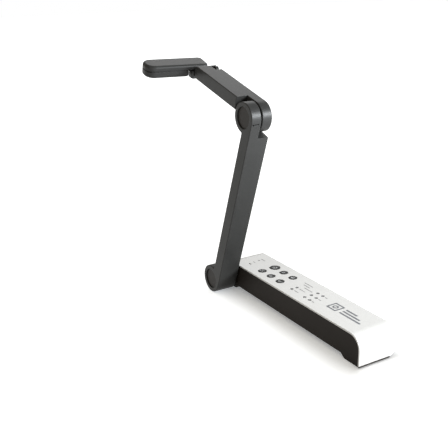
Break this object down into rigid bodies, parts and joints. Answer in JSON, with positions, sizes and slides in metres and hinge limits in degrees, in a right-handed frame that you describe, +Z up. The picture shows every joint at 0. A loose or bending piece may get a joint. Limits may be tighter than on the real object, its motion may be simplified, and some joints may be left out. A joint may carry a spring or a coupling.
{
  "type": "document camera",
  "caption": "Folding document camera: long low base with keys and sockets, two-link arm hinged beside it, and a flat camera head that swivels at the arm's tip.",
  "frame": {"origin": "middle of the underside of the foot pad at the base's hinge end, on the table", "axes": "+X along the base towards its far end, +Y towards the side with the sockets, +Z up"},
  "size_m": [0.2973, 0.1316, 0.2772],
  "materials": {
    "cover_white": "satin white moulded plastic",
    "shell_dark": "fine-textured charcoal plastic",
    "rubber_black": "black rubber",
    "steel": "zinc-plated steel",
    "board_green": "green circuit board",
    "insert_black": "black moulded insert",
    "plated": "bright plated shell",
    "key_dark": "charcoal key cap with a pale icon",
    "indicator": "frosted light pipe",
    "arm_dark": "fine-textured charcoal plastic",
    "cap_dark": "charcoal plastic disc",
    "cable_black": "black flat cable",
    "glass": "coated clear glass",
    "diffuser": "frosted white window",
    "contact": "plated contact pin",
    "bracket_alloy": "black-finished cast alloy",
    "washer_steel": "spring steel"
  },
  "bodies": {
    "base": {"top_cover": "cover_white", "base_tub": "shell_dark", "foot_pad_hinge_end": "rubber_black", "foot_pad_far_end": "rubber_black", "ballast_plate": "steel", "main_board": "board_green", "board_screws": "steel", "base_screws": "steel", "key_board": "board_green", "key_switches": "insert_black", "indicator_lenses": "indicator", "base_microphone": "steel", "hinge_bracket": "steel", "hdmi_shell": "plated", "hdmi_tongue": "insert_black", "usb_a_shell": "plated", "usb_a_tongue": "insert_black", "micro_usb_shell": "plated", "micro_usb_tongue": "insert_black", "dc_jack_body": "insert_black", "dc_jack_pin": "contact", "base_hinge_shaft": "steel", "base_hinge_washers": "washer_steel", "base_hinge_nut": "steel"},
    "lower_arm": {"lower_arm_shell": "arm_dark", "lower_arm_cover": "arm_dark", "lower_arm_screws": "steel", "lower_arm_cable": "cable_black", "barrel_cap": "cap_dark", "elbow_cap_outer": "cap_dark"},
    "upper_arm": {"upper_arm_shell": "arm_dark", "upper_arm_cover": "arm_dark", "upper_arm_screws": "steel", "upper_arm_cable": "cable_black", "elbow_cap_inner": "cap_dark", "elbow_shaft": "steel", "elbow_washers": "washer_steel", "elbow_nut": "steel", "swivel_bracket": "bracket_alloy", "swivel_shaft": "steel", "swivel_washer": "washer_steel", "swivel_clip": "washer_steel"},
    "head": {"head_top_shell": "arm_dark", "head_bottom_shell": "arm_dark", "lens_ring": "cap_dark", "lens_glass": "glass", "lens_barrel": "insert_black", "lens_element": "glass", "camera_board": "board_green", "image_sensor": "insert_black", "head_microphone": "steel", "light_window": "diffuser", "light_board": "board_green"},
    "key_focus": {"key_focus": "key_dark"},
    "key_zoom_in": {"key_zoom_in": "key_dark"},
    "key_zoom_out": {"key_zoom_out": "key_dark"},
    "key_power": {"key_power": "key_dark"},
    "key_light": {"key_light": "key_dark"},
    "key_capture": {"key_capture": "key_dark"}
  },
  "joints": [
    {"name": "base_hinge", "type": "hinge", "parent": "base", "child": "lower_arm", "pos_m": [0.0078, -0.04025, 0.0172], "axis": [0, 1, 0], "range_deg": [-25, 70.3]},
    {"name": "elbow_hinge", "type": "hinge", "parent": "lower_arm", "child": "upper_arm", "pos_m": [0.08264, -0.04025, 0.22621], "axis": [0, 1, 0], "range_deg": [-85.4, 94.6]},
    {"name": "head_swivel", "type": "hinge", "parent": "upper_arm", "child": "head", "pos_m": [-0.03773, -0.0362, 0.26801], "axis": [0.2605, 0, 0.9655], "range_deg": [-175.4, 4.6]},
    {"name": "key_focus_press", "type": "slide", "parent": "base", "child": "key_focus", "axis": [0, 0, -1], "range_m": [0, 0.0005], "stiffness_N_per_m": 450, "springref_m": -0.0005},
    {"name": "key_zoom_in_press", "type": "slide", "parent": "base", "child": "key_zoom_in", "axis": [0, 0, -1], "range_m": [0, 0.0005], "stiffness_N_per_m": 450, "springref_m": -0.0005},
    {"name": "key_zoom_out_press", "type": "slide", "parent": "base", "child": "key_zoom_out", "axis": [0, 0, -1], "range_m": [0, 0.0005], "stiffness_N_per_m": 450, "springref_m": -0.0005},
    {"name": "key_power_press", "type": "slide", "parent": "base", "child": "key_power", "axis": [0, 0, -1], "range_m": [0, 0.0005], "stiffness_N_per_m": 450, "springref_m": -0.0005},
    {"name": "key_light_press", "type": "slide", "parent": "base", "child": "key_light", "axis": [0, 0, -1], "range_m": [0, 0.0005], "stiffness_N_per_m": 450, "springref_m": -0.0005},
    {"name": "key_capture_press", "type": "slide", "parent": "base", "child": "key_capture", "axis": [0, 0, -1], "range_m": [0, 0.0005], "stiffness_N_per_m": 450, "springref_m": -0.0005}
  ]
}
